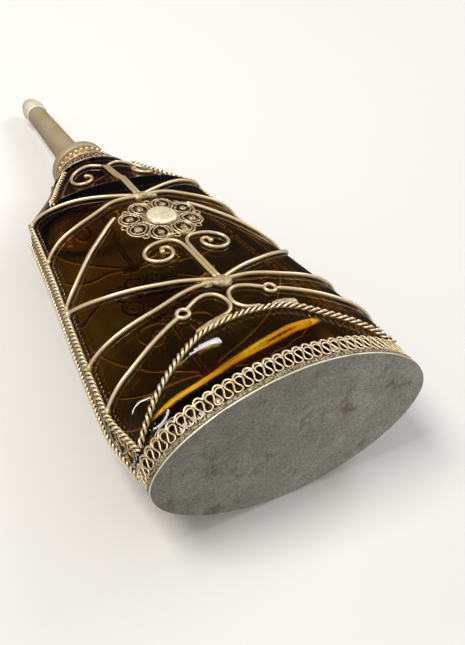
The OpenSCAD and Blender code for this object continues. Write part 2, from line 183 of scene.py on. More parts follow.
def surface_frame(x, z, lift):
    """Axes of a flat ornament on the front: right, up and out, with its origin."""
    origin = front(x, z, lift)
    out = outward(origin)
    out = Vector((out.x, out.y, 0)).normalized()
    right = Vector((-out.y, out.x, 0))
    return origin, right, Vector((0, 0, 1)), out


# ---- curves
def curve(points, steps):
    """A smooth curve through the points, with this many steps between neighbours."""
    points = [Vector(p) for p in points]
    last = len(points) - 1
    made = []
    for i in range(last):
        a, b, c, d = points[max(i - 1, 0)], points[i], points[i + 1], points[min(i + 2, last)]
        for j in range(steps):
            t = j / steps
            made.append(0.5 * (2 * b + (c - a) * t + (2 * a - 5 * b + 4 * c - d) * t ** 2
                               + (3 * b - 3 * c + d - a) * t ** 3))
    return made + [points[last]]


def even(path, step):
    """The same path at equal steps of length."""
    reach = [0.0]
    for a, b in zip(path, path[1:]):
        reach.append(reach[-1] + (b - a).length)
    count = max(2, round(reach[-1] / step))
    made = []
    k = 0
    for i in range(count + 1):
        s = min(reach[-1], reach[-1] * i / count)
        while k < len(reach) - 2 and reach[k + 1] < s:
            k += 1
        share = (s - reach[k]) / max(reach[k + 1] - reach[k], 1e-9)
        made.append(path[k].lerp(path[k + 1], share))
    return made


def spin(k, count):
    """Cosine and sine at step k of a full turn in count steps."""
    angle = 2 * math.pi * k / count
    return math.cos(angle), math.sin(angle)


def circle(radius, count, squash=1.0):
    """Right and up offsets of a ring; squash flattens it."""
    made = []
    for k in range(count):
        c, s = spin(k, count)
        made.append((radius * c, squash * radius * s))
    return made


def mirrored(points):
    return [(-x, z) for x, z in points]


def on_front(points, lift):
    """A smooth outline of [x, z] points, laid on the front."""
    return [front(q.x, q.y, lift) for q in curve([(x, z, 0) for x, z in points], OUTLINE_STEPS)]


def turned(path):
    """The same path on the back: half a turn round the upright axis."""
    return [Vector((-p.x, -p.y, p.z)) for p in path]


# ---- solids
class Shape:
    """Closed solids that make up one piece: points in millimetres, faces, and how
    polished each point is, from 0 in a dirty groove to 1 on a rubbed edge. On the
    flask the same mark is painted shade: 1 where the glass behind the gallery is painted black."""

    def __init__(self):
        self.points = []
        self.faces = []
        self.polish_and_shade = []

    def add(self, points, faces, polish_and_shade):
        first = len(self.points)
        self.points.extend(points)
        self.faces.extend([tuple(first + i for i in face) for face in faces])
        self.polish_and_shade.extend(polish_and_shade)

    def flipped(self):
        """The same shape on the back of the bottle."""
        other = Shape()
        other.points = turned(self.points)
        other.faces = list(self.faces)
        other.polish_and_shade = list(self.polish_and_shade)
        return other


def rings_faces(count, sides, closed):
    """Faces between rings of equal length, with a fan at each end unless it is closed."""
    faces = []
    for i in range(count if closed else count - 1):
        j = (i + 1) % count
        for k in range(sides):
            n = (k + 1) % sides
            faces.append((i * sides + k, i * sides + n, j * sides + n, j * sides + k))
    if not closed:
        faces.append(tuple(range(sides - 1, -1, -1)))
        faces.append(tuple((count - 1) * sides + k for k in range(sides)))
    return faces


def axes_at(path, i, closed=False, out=outward):
    """Directions at a point of a path: along it, to its right and away from the glass."""
    count = len(path)
    before = path[(i - 1) % count] if closed else path[max(i - 1, 0)]
    after = path[(i + 1) % count] if closed else path[min(i + 1, count - 1)]
    along = (after - before).normalized()
    right = out(path[i]).cross(along).normalized()
    return along, right, along.cross(right)


def tube(shape, path, radius, sides, closed=False, flat=1.0, out=outward):
    """A round wire along the path, with rounded ends. flat squeezes it towards the glass."""
    rings = [(p, *axes_at(path, i, closed, out), radius) for i, p in enumerate(path)]
    if not closed:
        for end, sign in ((0, -1), (-1, 1)):
            p, along, right, up, r = rings[end]
            caps = [(p + along * (sign * r * h), along, right, up, r * w)
                    for h, w in ((0.55, 0.84), (0.9, 0.44))]
            rings = caps[::-1] + rings if sign < 0 else rings + caps
    points, polish = [], []
    for p, _, right, up, r in rings:
        for k in range(sides):
            c, s = spin(k, sides)
            points.append(p + right * (r * c) + up * (r * flat * s))
            polish.append(clamp(0.55 + 0.6 * s))
    shape.add(points, rings_faces(len(rings), sides, closed), polish)


def rope(shape, path, lay, hand=1):
    """Two round strands twisted together along the path, to the right or (hand -1) the left."""
    axis = even(path, lay / 14)
    step = (axis[1] - axis[0]).length
    strand_r = ROPE_R * 0.46
    sides = 7
    caps = 2 * sides
    for strand in (0, 1):
        centres = []
        for i, p in enumerate(axis):
            angle = hand * (2 * math.pi * i * step / lay) + math.pi * strand
            _, right, up = axes_at(axis, i)
            centres.append(p + (right * math.cos(angle) + up * math.sin(angle)) * (ROPE_R - strand_r))
        first = len(shape.points)
        tube(shape, centres, strand_r, sides)
        for n in range(first, len(shape.points)):
            i = int(clamp((n - first - caps) // sides, 0, len(axis) - 1))
            reach = (shape.points[n] - axis[i]).length / ROPE_R
            shape.polish_and_shade[n] = clamp((reach - 0.45) / 0.35)


def ball(shape, centre, radius, squash, up, polish, rough, rows):
    """A slightly uneven round drop; squash flattens it along up."""
    turn = up.to_track_quat("Z", "Y")
    sides = rows * 2
    points = [centre + turn @ Vector((0, 0, -radius * squash))]
    for i in range(1, rows):
        tilt = math.pi * i / rows
        for k in range(sides):
            c, s = spin(k, sides)
            v = Vector((math.sin(tilt) * c, math.sin(tilt) * s, -math.cos(tilt)))
            grow = radius * (1 + rough * noise.noise(v * 1.7 + centre * 3.1))
            points.append(centre + turn @ Vector((v.x * grow, v.y * grow, v.z * grow * squash)))
    points.append(centre + turn @ Vector((0, 0, radius * squash)))
    faces = [(0, 1 + (k + 1) % sides, 1 + k) for k in range(sides)]
    for i in range(rows - 2):
        for k in range(sides):
            a, b = 1 + i * sides + k, 1 + i * sides + (k + 1) % sides
            faces.append((a, b, b + sides, a + sides))
    top, ring = len(points) - 1, 1 + (rows - 2) * sides
    faces += [(ring + k, ring + (k + 1) % sides, top) for k in range(sides)]
    shape.add(points, faces, [polish] * len(points))


def lathe(shape, profile, sides, polish=None, wobble=None):
    """A turned solid from a closed [radius, z] outline. wobble(x, y, z) adds to the radius."""
    count = len(profile)
    points, polish_and_shade = [], []
    for i, (r, z) in enumerate(profile):
        for k in range(sides):
            c, s = spin(k, sides)
            size = r + (wobble(r * c, r * s, z) if wobble else 0.0)
            points.append(Vector((size * c, size * s, z)))
            polish_and_shade.append(polish[i] if polish else 0.7)
    shape.add(points, rings_faces(count, sides, True), polish_and_shade)


def loft(shape, levels, closed=False, polish=0.7):
    """Skin over rings of equal length."""
    sides = len(levels[0])
    shape.add([p for level in levels for p in level], rings_faces(len(levels), sides, closed),
              [polish] * (sides * len(levels)))


def new_object(name, data):
    made = bpy.data.objects.new(name, data)
    bpy.context.scene.collection.objects.link(made)
    return made


def piece(name, shape, material, body, slot, *nodes):
    """Makes the mesh of one piece, which rides on a body and stands for CAD nodes."""
    mesh = bpy.data.meshes.new(name)
    mesh.from_pydata([p * MM for p in shape.points], [], shape.faces)
    worked = bmesh.new()
    worked.from_mesh(mesh)
    bmesh.ops.recalc_face_normals(worked, faces=worked.faces)
    worked.to_mesh(mesh)
    worked.free()
    mesh.polygons.foreach_set("use_smooth", [True] * len(mesh.polygons))
    layer = mesh.attributes.new("polish_and_shade", "FLOAT", "POINT")
    layer.data.foreach_set("value", shape.polish_and_shade)
    mesh.materials.append(material)
    made = new_object(name, mesh)
    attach(made, body)
    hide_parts(*nodes)


# ---- materials
class Nodes:
    """The node tree of a material, or of a world, built with short calls."""

    def __init__(self, name, world=False):
        self.owner = (bpy.data.worlds if world else bpy.data.materials).new(name)
        self.owner.use_nodes = True
        self.tree = self.owner.node_tree
        self.shader = self.tree.nodes["Background" if world else "Principled BSDF"]
        self.place = self.add("ShaderNodeTexCoord").outputs["Generated" if world else "Object"]

    def add(self, kind, inputs=(), **settings):
        """A new node, with its settings and with a value or a link for each input named."""
        made = self.tree.nodes.new(kind)
        for name, value in settings.items():
            setattr(made, name, value)
        for name, value in dict(inputs).items():
            self.set(made.inputs[name], value)
        return made

    def set(self, socket, value):
        """Links an output to a socket, or sets the socket's own value."""
        if isinstance(value, bpy.types.NodeSocket):
            self.tree.links.new(value, socket)
        else:
            socket.default_value = value

    def noise(self, size, detail=4.0, rough=0.6, stretch=(1, 1, 1)):
        """Noise whose grains are about size millimetres across."""
        scale = [s / (size * MM) for s in stretch]
        grains = self.add("ShaderNodeMapping", {"Vector": self.place, "Scale": scale}).outputs[0]
        inputs = {"Vector": grains, "Scale": 1.0, "Detail": detail, "Roughness": rough}
        return self.add("ShaderNodeTexNoise", inputs).outputs["Fac"]

    def ramp(self, value, low, high, start=0.0, end=1.0):
        """value from low to high, mapped to start to end and held beyond."""
        inputs = {"Value": value, "From Min": low, "From Max": high, "To Min": start, "To Max": end}
        return self.add("ShaderNodeMapRange", inputs, interpolation_type="SMOOTHSTEP").outputs[0]

    def maths(self, operation, a, b):
        return self.add("ShaderNodeMath", {0: a, 1: b}, operation=operation, use_clamp=True).outputs[0]

    def mix(self, share, a, b):
        """Colour a where share is 0 and b where it is 1."""
        a, b = (c if isinstance(c, bpy.types.NodeSocket) else (*c, 1.0) for c in (a, b))
        return self.add("ShaderNodeMix", {0: share, 6: a, 7: b}, data_type="RGBA").outputs[2]

    def polish_and_shade(self):
        return self.add("ShaderNodeAttribute", attribute_name="polish_and_shade").outputs["Fac"]

    def along(self, axis):
        """The place along one axis."""
        return self.add("ShaderNodeSeparateXYZ", {0: self.place}).outputs[axis]

    def bump(self, heights, strength, depth):
        """Raises the surface by up to depth millimetres where heights is 1."""
        made = self.add("ShaderNodeBump", {"Height": heights, "Strength": strength, "Distance": depth * MM})
        self.set(self.shader.inputs["Normal"], made.outputs[0])

    def output(self, kind, value):
        self.set(self.tree.nodes["Material Output"].inputs[kind], value)

    def finish(self, **inputs):
        for name, value in inputs.items():
            self.set(self.shader.inputs[name.replace("_", " ")], value)
        return self.owner


def silver(name, bright, dirt, grain, depth, rough, patina, metal=0.75, speck=0.0):
    """Old silvered wire: bright where it is rubbed, brown tarnish in its grooves."""
    n = Nodes(name)
    blotch = n.noise(3.5, 5)
    fine = n.noise(grain, 3)
    rubbed = n.maths("ADD", n.maths("MULTIPLY", n.polish_and_shade(), 0.75), n.maths("MULTIPLY", blotch, 0.45))
    if speck:
        # Specks of dirt, dark where the fine noise is low
        rubbed = n.maths("SUBTRACT", rubbed, n.ramp(fine, 0.35, 0.6, speck, 0.0))
    share = n.ramp(rubbed, *patina)
    warm = n.mix(n.ramp(n.noise(6, 3), 0.4, 0.62), bright, [c * k for c, k in zip(bright, (1.0, 0.9, 0.72))])
    n.bump(fine, 0.5, depth)
    polish = n.maths("MULTIPLY", share, n.ramp(fine, 0.3, 0.7, 0.7, 1.0))
    return n.finish(Base_Color=n.mix(share, dirt, warm), Metallic=metal,
                    Roughness=n.ramp(polish, 0, 1, rough[1], rough[0]))


def grainy(name, size, depth, dark, pale, rough):
    """A dull material, darker in the hollows between its grains."""
    n = Nodes(name)
    grain = n.noise(size, 5, 0.7)
    n.bump(grain, 0.7, depth)
    return n.finish(Base_Color=n.mix(n.ramp(grain, 0.35, 0.65), dark, pale), Roughness=rough)


# The light that the glass lets through, and how fast it takes out the rest, per metre
GLASS_COLOUR = (0.85, 0.70, 0.03)
GLASS_DENSITY = 720.0


def make_glass():
    """Amber glass with cloudy and reddish patches, painted black low down behind the gallery as painted
    shade.
    """
    n = Nodes("amber_glass")
    cloud = n.ramp(n.noise(20, 3, stretch=(1, 1, 0.7)), 0.40, 0.62)
    red = n.ramp(n.noise(15, 3, stretch=(1, 1, 0.6)), 0.50, 0.66)
    tint = n.mix(cloud, (0.96, 0.93, 0.66), (0.62, 0.57, 0.38))
    colour = n.mix(red, tint, (0.84, 0.62, 0.32))
    # Painted shade: the flask's mark, made ragged by noise, turns the glass near black behind the gallery
    ragged = n.maths("ADD", n.polish_and_shade(), n.maths("MULTIPLY", n.noise(2.5, 4), 0.3))
    gallery_shade = n.ramp(ragged, 0.45, 0.8)
    n.bump(n.noise(14, 2), 0.35, 0.02)
    inputs = {"Color": (*GLASS_COLOUR, 1), "Density": GLASS_DENSITY}
    n.output("Volume", n.add("ShaderNodeVolumeAbsorption", inputs).outputs[0])
    return n.finish(Base_Color=n.mix(gallery_shade, colour, (0.004, 0.003, 0.002)), Roughness=0.03, IOR=1.5,
                    Transmission_Weight=1.0)


def make_base_sheet():
    """Dull tinned sheet, stained brown and pitted, with a few scraped bright spots."""
    n = Nodes("base_sheet")
    stain = n.ramp(n.noise(11, 6, 0.72), 0.54, 0.66)
    pits = n.ramp(n.noise(0.8, 3, 0.7), 0.3, 0.42)
    scrape = n.ramp(n.noise(6, 5, 0.7, stretch=(1, 2.4, 1)), 0.62, 0.72)
    cloudy = n.mix(n.ramp(n.noise(14, 5, 0.7), 0.36, 0.66), (0.36, 0.345, 0.28), (0.49, 0.47, 0.395))
    grey = n.mix(n.ramp(n.noise(0.7, 4, 0.8), 0.36, 0.62, 0.5, 0.0), cloudy, (0.10, 0.09, 0.07))
    brown = n.mix(n.maths("MULTIPLY", stain, 0.8), grey, (0.20, 0.14, 0.09))
    worn = n.mix(scrape, brown, (0.60, 0.58, 0.49))
    # Painted shade: darker towards the left
    left_side_shade = n.ramp(n.along("X"), -BASE_W / 2 * MM, BASE_W / 2 * MM, 0.32, 0.0)
    colour = n.mix(left_side_shade, n.mix(pits, (0.10, 0.08, 0.06), worn), (0.04, 0.035, 0.03))
    edge = n.mix(n.ramp(n.polish_and_shade(), 0.6, 0.9), colour, (0.74, 0.67, 0.52))
    lumps = n.maths("ADD", n.maths("MULTIPLY", n.noise(1.1, 4), 0.6), n.maths("MULTIPLY", pits, 0.4))
    n.bump(lumps, 0.6, 0.1)
    return n.finish(Base_Color=edge, Metallic=0.8, Roughness=n.ramp(n.noise(3, 4), 0.3, 0.7, 0.45, 0.65))


def make_disc():
    """The rosette's pale, grainy plaque."""
    n = Nodes("pale_disc")
    colour = n.mix(n.ramp(n.noise(2.2, 4), 0.4, 0.65), (0.90, 0.80, 0.58), (0.70, 0.61, 0.42))
    n.bump(n.noise(0.7, 5, 0.75), 0.8, 0.16)
    worn = n.mix(n.ramp(n.polish_and_shade(), 0.2, 0.6), (0.2, 0.15, 0.09), colour)
    return n.finish(Base_Color=worn, Metallic=0.55, Roughness=0.5)


wire_metal = silver("wire_metal", (0.76, 0.63, 0.42), (0.30, 0.22, 0.13), 0.8, 0.03, (0.32, 0.5),
                    (0.15, 0.7), 0.62)
rope_metal = silver("rope_metal", (0.78, 0.66, 0.46), (0.03, 0.022, 0.015), 0.6, 0.03, (0.34, 0.5),
                    (0.42, 0.78))
filigree_metal = silver("filigree_metal", (0.74, 0.62, 0.42), (0.03, 0.022, 0.015), 0.5, 0.08, (0.36, 0.6),
                        (0.42, 0.98), 0.65, 0.3)
# Painted shade: the side lattice gets a far darker silver than the other wire, for the shade between the side
# ropes
shaded_lattice_metal = silver("shaded_lattice_metal", (0.36, 0.30, 0.21), (0.03, 0.024, 0.018), 0.5, 0.05, (0.4, 0.6),
                       (0.35, 0.9))
gallery_metal = silver("gallery_metal", (0.74, 0.62, 0.43), (0.05, 0.037, 0.025), 0.5, 0.05, (0.36, 0.6),
                       (0.35, 0.85), 0.7, 0.15)
solder_metal = silver("solder_metal", (0.58, 0.47, 0.28), (0.14, 0.10, 0.06), 0.45, 0.25, (0.44, 0.65),
                      (0.2, 0.8), 0.55, 0.35)
band_metal = silver("band_metal", (0.66, 0.54, 0.36), (0.05, 0.038, 0.025), 0.4, 0.3, (0.42, 0.65),
                    (0.3, 0.9), 0.55, 0.5)
bead_metal = silver("bead_metal", (0.86, 0.75, 0.55), (0.05, 0.038, 0.025), 0.5, 0.06, (0.34, 0.55),
                    (0.45, 0.95), 0.7, 0.2)
sheet_metal = silver("sheet_metal", (0.92, 0.76, 0.48), (0.12, 0.09, 0.06), 0.8, 0.06, (0.38, 0.55),
                     (0.2, 0.7), 0.55, 0.15)
spout_metal = silver("spout_metal", (0.40, 0.33, 0.22), (0.18, 0.14, 0.09), 0.9, 0.08, (0.5, 0.62),
                     (0.1, 0.8), 0.3, 0.2)
cap_metal = silver("cap_metal", (0.86, 0.80, 0.66), (0.36, 0.30, 0.21), 0.7, 0.12, (0.28, 0.45),
                   (0.2, 0.8), 0.3, 0.25)
amber_glass = make_glass()
base_metal = make_base_sheet()
disc_metal = make_disc()
leather = grainy("washer_leather", 0.5, 0.1, (0.16, 0.08, 0.035), (0.36, 0.21, 0.10), 0.72)
plaster = grainy("old_plaster", 0.6, 0.12, (0.50, 0.44, 0.33), (0.75, 0.70, 0.58), 0.85)


# ---- the flask
GLASS_SIDES = 144


def oval_level(z, a, b, m):
    """A ring of points at height z."""
    return [Vector((*oval(a, b, m, k / GLASS_SIDES), z)) for k in range(GLASS_SIDES)]


def glass_level(z, inset):
    """A ring of the glass at height z, drawn in by inset."""
    return oval_level(z, *section(z, -inset))


# The upper edge of a slanting wave in the front wall, as [x, z]
SILL = [(-40, 13.2), (-29, 14.6), (-23.5, 14.6), (-17.3, 15.4), (-10.4, 17), (0, 19.3), (9.5, 21.6),
        (22, 22.6)]


def sill(p):
    """How much thicker the front wall is under a slanting wave in the glass."""
    line = SILL[-1][1]
    for (x0, z0), (x1, z1) in zip(SILL, SILL[1:]):
        if x0 <= p.x < x1:
            line = z0 + (z1 - z0) * (p.x - x0) / (x1 - x0)
    ends = ease((p.x + 38) / 8) * ease((20 - p.x) / 8)
    spread = 1.15 + 1.5 * ease((p.x + 20) / 25)
    uneven = 1 + 0.12 * noise.noise(Vector((p.x * 0.5, 0, 0)))
    return 0.85 * spread * ends * uneven * ease((line - p.z) / spread + 0.5)


def make_flask():
    """The glass: heel, walls, shoulder and neck on the outside, then the inside from the top down."""
    heel = [(0, 3.4), (0.35, 2.5), (1.3, 1.6), (2.4, 1.0), (4, 0.5), (6, 0.15), (8, 0)]
    walls = [9.5, 11, 12.5, 14, 17, 20, 24, 28, 34, 41, 50, 60, 72, 85, 98, 106, 111, 114, 115.4]
    outer = [glass_level(FOOT_Z + h, inset) for h, inset in heel] + [glass_level(z, 0) for z in walls]
    rise = NECK_Z - SHOULDER_Z
    outer += [glass_level(SHOULDER_Z + rise * (k / 22) ** 1.8, 0) for k in range(23)]
    neck = [(9, NECK_Z), (7.5, NECK_Z + 0.1), (7.3, NECK_Z + 0.5), (7.3, NECK_TOP - 0.4),
            (7.1, NECK_TOP - 0.05), (6.8, NECK_TOP), (5, NECK_TOP), (4.6, NECK_TOP - 0.4), (4.6, NECK_Z - 2)]
    inner = [(138, 3.2), (135, 2.9), (132, 2.6), (129, 2.4), (126, 2.4), (123, 2.4), (121, 2.4),
             (118.5, 2.5), (116, 2.6), (113, 1.2)]
    inner += [(z, 0) for z in (108, 98, 84, 70, 58, 47, 38, 31)]
    inner += [(28.5 - 0.25 * k, 0) for k in range(70)]
    base = FOOT_Z + FLOOR_T
    inner += [(base + 2, 0.8), (base + 1, 1.5), (base + 0.35, 2.4), (base, 3.6)]
    shell = Shape()
    loft(shell, outer + [oval_level(z, r, r, 2) for r, z in neck]
         + [glass_level(z, GLASS_T + d) for z, d in inner])
    last_outer = GLASS_SIDES * len(outer)
    for i, p in enumerate(shell.points):
        shell.polish_and_shade[i] = 0.0
        # Painted shade: the outer wall is marked to be painted black up to 2 mm above the gallery, fading out
        # by 5.5 mm above it
        if i < last_outer and p.z > FOOT_Z + 1.5:
            shell.polish_and_shade[i] = clamp((GALLERY_H + 5.5 - p.z) / 3.5)
        elif p.z < 30 and i > last_outer and p.y < 0:
            p.y += sill(p)
        if FOOT_Z + 2 < p.z < NECK_Z - 2:
            dent = 0.5 + 0.5 * noise.noise(p * 0.055)
            shell.points[i] = p - outward(p) * (0.05 * dent)
    piece("amber_flask", shell, amber_glass, "flask", "amber_glass", "glass_bottle")


# ---- base
def make_base():
    """The oval sheet: slightly dished and dented, with a rubbed cut edge."""
    sides = 160
    sheet = Shape()

    def ring(share, z, dented):
        level = []
        for k in range(sides):
            x, y = oval(BASE_W / 2, BASE_D / 2, BASE_ROUND, k / sides)
            nick = 0.12 * (0.5 + 0.5 * noise.noise(Vector((x, y, 0)) * 0.13)) if dented < 0.5 else 0.0
            reach = share - nick / math.hypot(x, y)
            p = Vector((x * reach, y * reach, z))
            p.z += dented * (0.10 + 0.09 * noise.noise(p * 0.11) + 0.05 * noise.noise(p * 0.4))
            level.append(p)
        return level

    bottom = [ring(k / 14, 0, 1.0) for k in range(1, 14)]
    edge = [(0.955, 0.02, 0.5), (0.975, 0.0, 0.1), (0.99, 0.0, 0.0), (0.997, 0.12, 0.0), (1.0, 0.3, 0.0),
            (1.0, PLATE_T - 0.25, 0.0), (0.996, PLATE_T - 0.05, 0.0), (0.985, PLATE_T, 0.0)]
    top = [ring(share, PLATE_T, 0.0) for share in (0.9, 0.7, 0.4, 0.1)]
    loft(sheet, bottom + [ring(*e) for e in edge] + top)
    for i, p in enumerate(sheet.points):
        rim = 0.990 < (abs(p.x) / (BASE_W / 2)) ** BASE_ROUND + (abs(p.y) / (BASE_D / 2)) ** BASE_ROUND
        sheet.polish_and_shade[i] = 1.0 if rim and 0.05 < p.z < 0.4 else 0.2
    piece("base_sheet_plate", sheet, base_metal, "flask", "base_sheet", "base_plate")


def gallery_outline():
    """A finely divided oval round the base and its length so far at each point."""
    inset = 0.7
    count = 720
    a, b = BASE_W / 2 - inset, BASE_D / 2 - inset
    points = [Vector((*oval(a, b, BASE_ROUND, k / count), 0)) for k in range(count)]
    reach = [0.0]
    for k in range(count):
        reach.append(reach[-1] + (points[(k + 1) % count] - points[k]).length)
    return points, reach


outline_points, outline_reach = gallery_outline()


def gallery_at(share, z, push=0.0):
    """A point of the gallery at an even share of the way round, pushed outwards."""
    s = (share % 1.0) * outline_reach[-1]
    low, high = 0, len(outline_reach) - 1
    while high - low > 1:
        middle = (low + high) // 2
        if outline_reach[middle] <= s:
            low = middle
        else:
            high = middle
    t = (s - outline_reach[low]) / (outline_reach[low + 1] - outline_reach[low])
    p = outline_points[low].lerp(outline_points[(low + 1) % len(outline_points)], t)
    out = gallery_out(p)
    return Vector((p.x + out.x * push, p.y + out.y * push, z))


def gallery_out(p):
    return slope(p, BASE_W / 2, BASE_D / 2, BASE_ROUND, 0)


def make_base_band():
    """The strip under the gallery, lumpy with solder, with a beaded wire on it."""
    band = Shape()
    steps = 300
    levels = []
    for z, push in ((0, -0.35), (0, 0.42), (0.5, 0.5), (1.0, 0.42), (STRIP_H, 0.3), (STRIP_H, -0.35)):
        level = []
        for k in range(steps):
            p = gallery_at(k / steps, PLATE_T + z)
            lump = noise.noise(p * 0.9) * 0.18 + noise.noise(p * 2.3) * 0.16
            rise = 0.30 * noise.noise(p * 0.7) if z == STRIP_H else 0.0
            out = gallery_out(p)
            push_here = push + (lump if push > 0 else 0)
            level.append(p + out * min(push_here, 0.62) + Vector((0, 0, rise)))
        levels.append(level)
    loft(band, levels, closed=True, polish=0.65)
    grains = round(GALLERY_LOOPS * 2.5)
    for k in range(grains):
        p = gallery_at((k + rng.uniform(-0.2, 0.2)) / grains, PLATE_T + 0.95 + rng.uniform(-0.25, 0.25), 0.38)
        ball(band, p, rng.uniform(0.22, 0.36), 0.8, gallery_out(p), 0.85, 0.3, 4)
    piece("base_band", band, band_metal, "flask", "silver_sheet", "base_strip")


def make_gallery():
    """One wire bent up and down into pinched loops, and the scalloped wire over them."""
    loops = Shape()
    wire = 0.27
    low = PLATE_T + STRIP_H + wire
    high = GALLERY_H - 1.35
    span = high - low
    # One turn of the wire, as [share of the pitch, share of the height]
    turn = [(0.0, 0.0), (0.24, 0.05), (0.37, 0.19), (0.33, 0.36), (0.25, 0.5), (0.17, 0.64), (0.12, 0.81),
            (0.26, 0.96), (0.5, 1.0), (0.74, 0.96), (0.88, 0.81), (0.83, 0.64), (0.75, 0.5), (0.67, 0.36),
            (0.63, 0.19), (0.76, 0.05)]
    path = []
    for i in range(GALLERY_LOOPS):
        lean = rng.uniform(-0.05, 0.05)
        rise = rng.uniform(-0.12, 0.12)
        path += [gallery_at((i + s + lean * h) / GALLERY_LOOPS, low + span * h + rise * h, 0.05)
                 for s, h in turn]
    smooth = curve(path + path[:1], 2)[:-1]
    tube(loops, smooth, wire, 7, closed=True, out=gallery_out)
    # A few loops are filled with solder
    for i in (3, 17, 29, 46, 58, 70):
        p = gallery_at((i + 1.0) / GALLERY_LOOPS, low + span * 0.3, 0.0)
        ball(loops, p, 0.95, 0.35, gallery_out(p), 0.6, 0.5, 6)
    piece("gallery_loop_wire", loops, gallery_metal, "flask", "silver_wire", "gallery_lattice")

    scallop = Shape()
    thick = 0.34
    arcs = 10
    path = []
    for i in range(GALLERY_LOOPS):
        rise = rng.uniform(-0.1, 0.05)
        for k in range(arcs):
            s = k / arcs
            dip = 1.35 * abs(2 * s - 1) ** 2.4
            z = GALLERY_H - thick - 0.02 - dip + rise * (1 - dip)
            path.append(gallery_at((i + s) / GALLERY_LOOPS, z, 0.12))
    tube(scallop, path, thick, 8, closed=True, out=gallery_out, flat=0.9)
    piece("gallery_scallop_wire", scallop, gallery_metal, "flask", "silver_wire", "gallery_top_wire")


# ---- cage
# Outlines are [x, z] on a broad face, for the half with x > 0
UPPER_JOINT = (0.0, 102.0)
LOWER_JOINT = (0.3, 47.0)
RIB_A = [(1, 102.6), (9.5, 106.3), (17.8, 109.8), (25.5, 112.4), (31.4, 115.4)]
RIB_B = [(1, 101.8), (6, 102.5), (10.7, 101.9), (15.1, 99.9), (19.1, 98.3), (24.8, 96.7), (30.2, 95.5),
         (33.9, 93.6)]
RIB_C = [(13.4, 92.6), (16, 90.5), (21, 85.7), (25.7, 81.4), (30.5, 76.4), (34.2, 72.6), (36.9, 69.4)]
RIB_D = [(1.5, 48.3), (5.4, 50), (10.7, 52.1), (16.2, 53.8), (21.4, 55.7), (26.6, 57.7), (31.6, 60.1),
         (36.2, 63.6), (38, 67)]
RIB_E = [(3, 47.4), (8.4, 47.4), (13.3, 46.6), (20.6, 44.7), (26.8, 43.9), (32.8, 43.4), (37.5, 43.1),
         (40, 43.1)]
RIB_F = [(16.6, 37.6), (19.6, 36.4), (23.6, 34.6), (27.6, 32.8), (31.6, 30.9), (35.4, 29.3), (39, 28.1),
         (42, 26)]
ARCH_LEFT = [(0, 30.6), (5.8, 30.1), (10.7, 29.5), (15.9, 28.2), (23.2, 24.5), (29.6, 20.3), (34.7, 16.5),
             (38.9, 12.6), (42, 9.6)]
ARCH_RIGHT = [(5.8, 30.1), (10.7, 29.3), (14.6, 27.6), (17.6, 25.2), (20.9, 22.5), (24.5, 19.9), (27.5, 17.8),
              (30.5, 15.5), (33.8, 12.9), (37.4, 9.3)]
SCROLL = [(0.65, 49.8), (0.65, 58), (0.7, 66), (1.2, 70.6), (3.4, 73), (7, 73.4), (10.6, 72.6), (13.4, 70.4),
          (14.1, 67.4), (12.6, 64.8), (9.8, 63.6), (7, 64.6), (5.4, 67.2), (5.9, 69.6),
          (7.9, 69.9), (8.4, 68.2)]
ARC = [(12.1, 39.9), (8, 42.2), (4.6, 42.8), (1.9, 41.3), (0.72, 38.4), (0.95, 35.4), (2.9, 33), (6.3, 31.9)]
RING_X, RING_Z, RING_R = 14.2, 38.5, 1.75
SHOULDER_SCROLL = [(1.6, 131.2), (5.4, 133.4), (9.6, 132.8), (13, 130), (14.6, 126), (14, 121.8),
                   (11.4, 120.4), (8.8, 122.2), (8, 125), (9.2, 126.2)]
SHOULDER_RUN_LEFT = [(12.6, 135), (15.6, 131), (18.6, 126.4), (21.6, 121), (24.2, 117), (25.2, 113.6)]
SHOULDER_RUN_RIGHT = [(14.4, 136.6), (16.2, 133.5), (18.2, 129.8), (20.8, 126), (24, 122.6), (27.4, 119.3),
                      (30, 116.6)]
# Pads of solder on the front, as [x, z, length, slope in degrees]
PADS = [(-10.7, 30.5, 10.5, 10), (12.4, 30.5, 8.5, -7)]


def edge_x(z):
    """Where the front's surface meets the side rope at height z."""
    a, b, m = section(z, WIRE_R + TRIM_GAP)
    return a * across((rope_y(z) + 0.7) / b, m)


def both_halves(points, shift):
    """The outline and its mirror image, moved sideways at the root, with its end on the side rope."""
    end = points[-1][1]
    points = points[:-1] + [(edge_x(end), end)]
    for side in (points, mirrored(points)):
        yield [(x + shift * (1 - (x / 42) ** 2), z) for x, z in side[:-1]] + side[-1:]


def ornament_shift(back, shift=FRONT_SHIFT):
    """The back's ornament sits in the middle."""
    return 0 if back else shift


def face_piece(name, ending, shape, back, material, slot):
    """A piece of the front, or the same turned to the back."""
    piece(f"{name}_{ending}", shape.flipped() if back else shape, material, "flask", slot, name)


def make_side_ropes():
    """The two ropes of a side are twisted opposite ways, so they read as one plait."""
    low, high = GALLERY_H + 0.7, SHOULDER_Z + 0.2
    for sx, left_right in ((-1, "left"), (1, "right")):
        for sy, front_back in ((-1, "front"), (1, "back")):
            path = []
            for k in range(61):
                z = low + (high - low) * k / 60
                p = side_point(z, sy * rope_y(z), ROPE_R + TRIM_GAP)
                path.append(Vector((sx * p.x, p.y, p.z)))
            strands = Shape()
            rope(strands, path, SIDE_LAY, -sx * sy)
            name = f"side_rope_{left_right}_{front_back}"
            piece(f"{name}_twist", strands, rope_metal, "flask", "silver_rope", name)


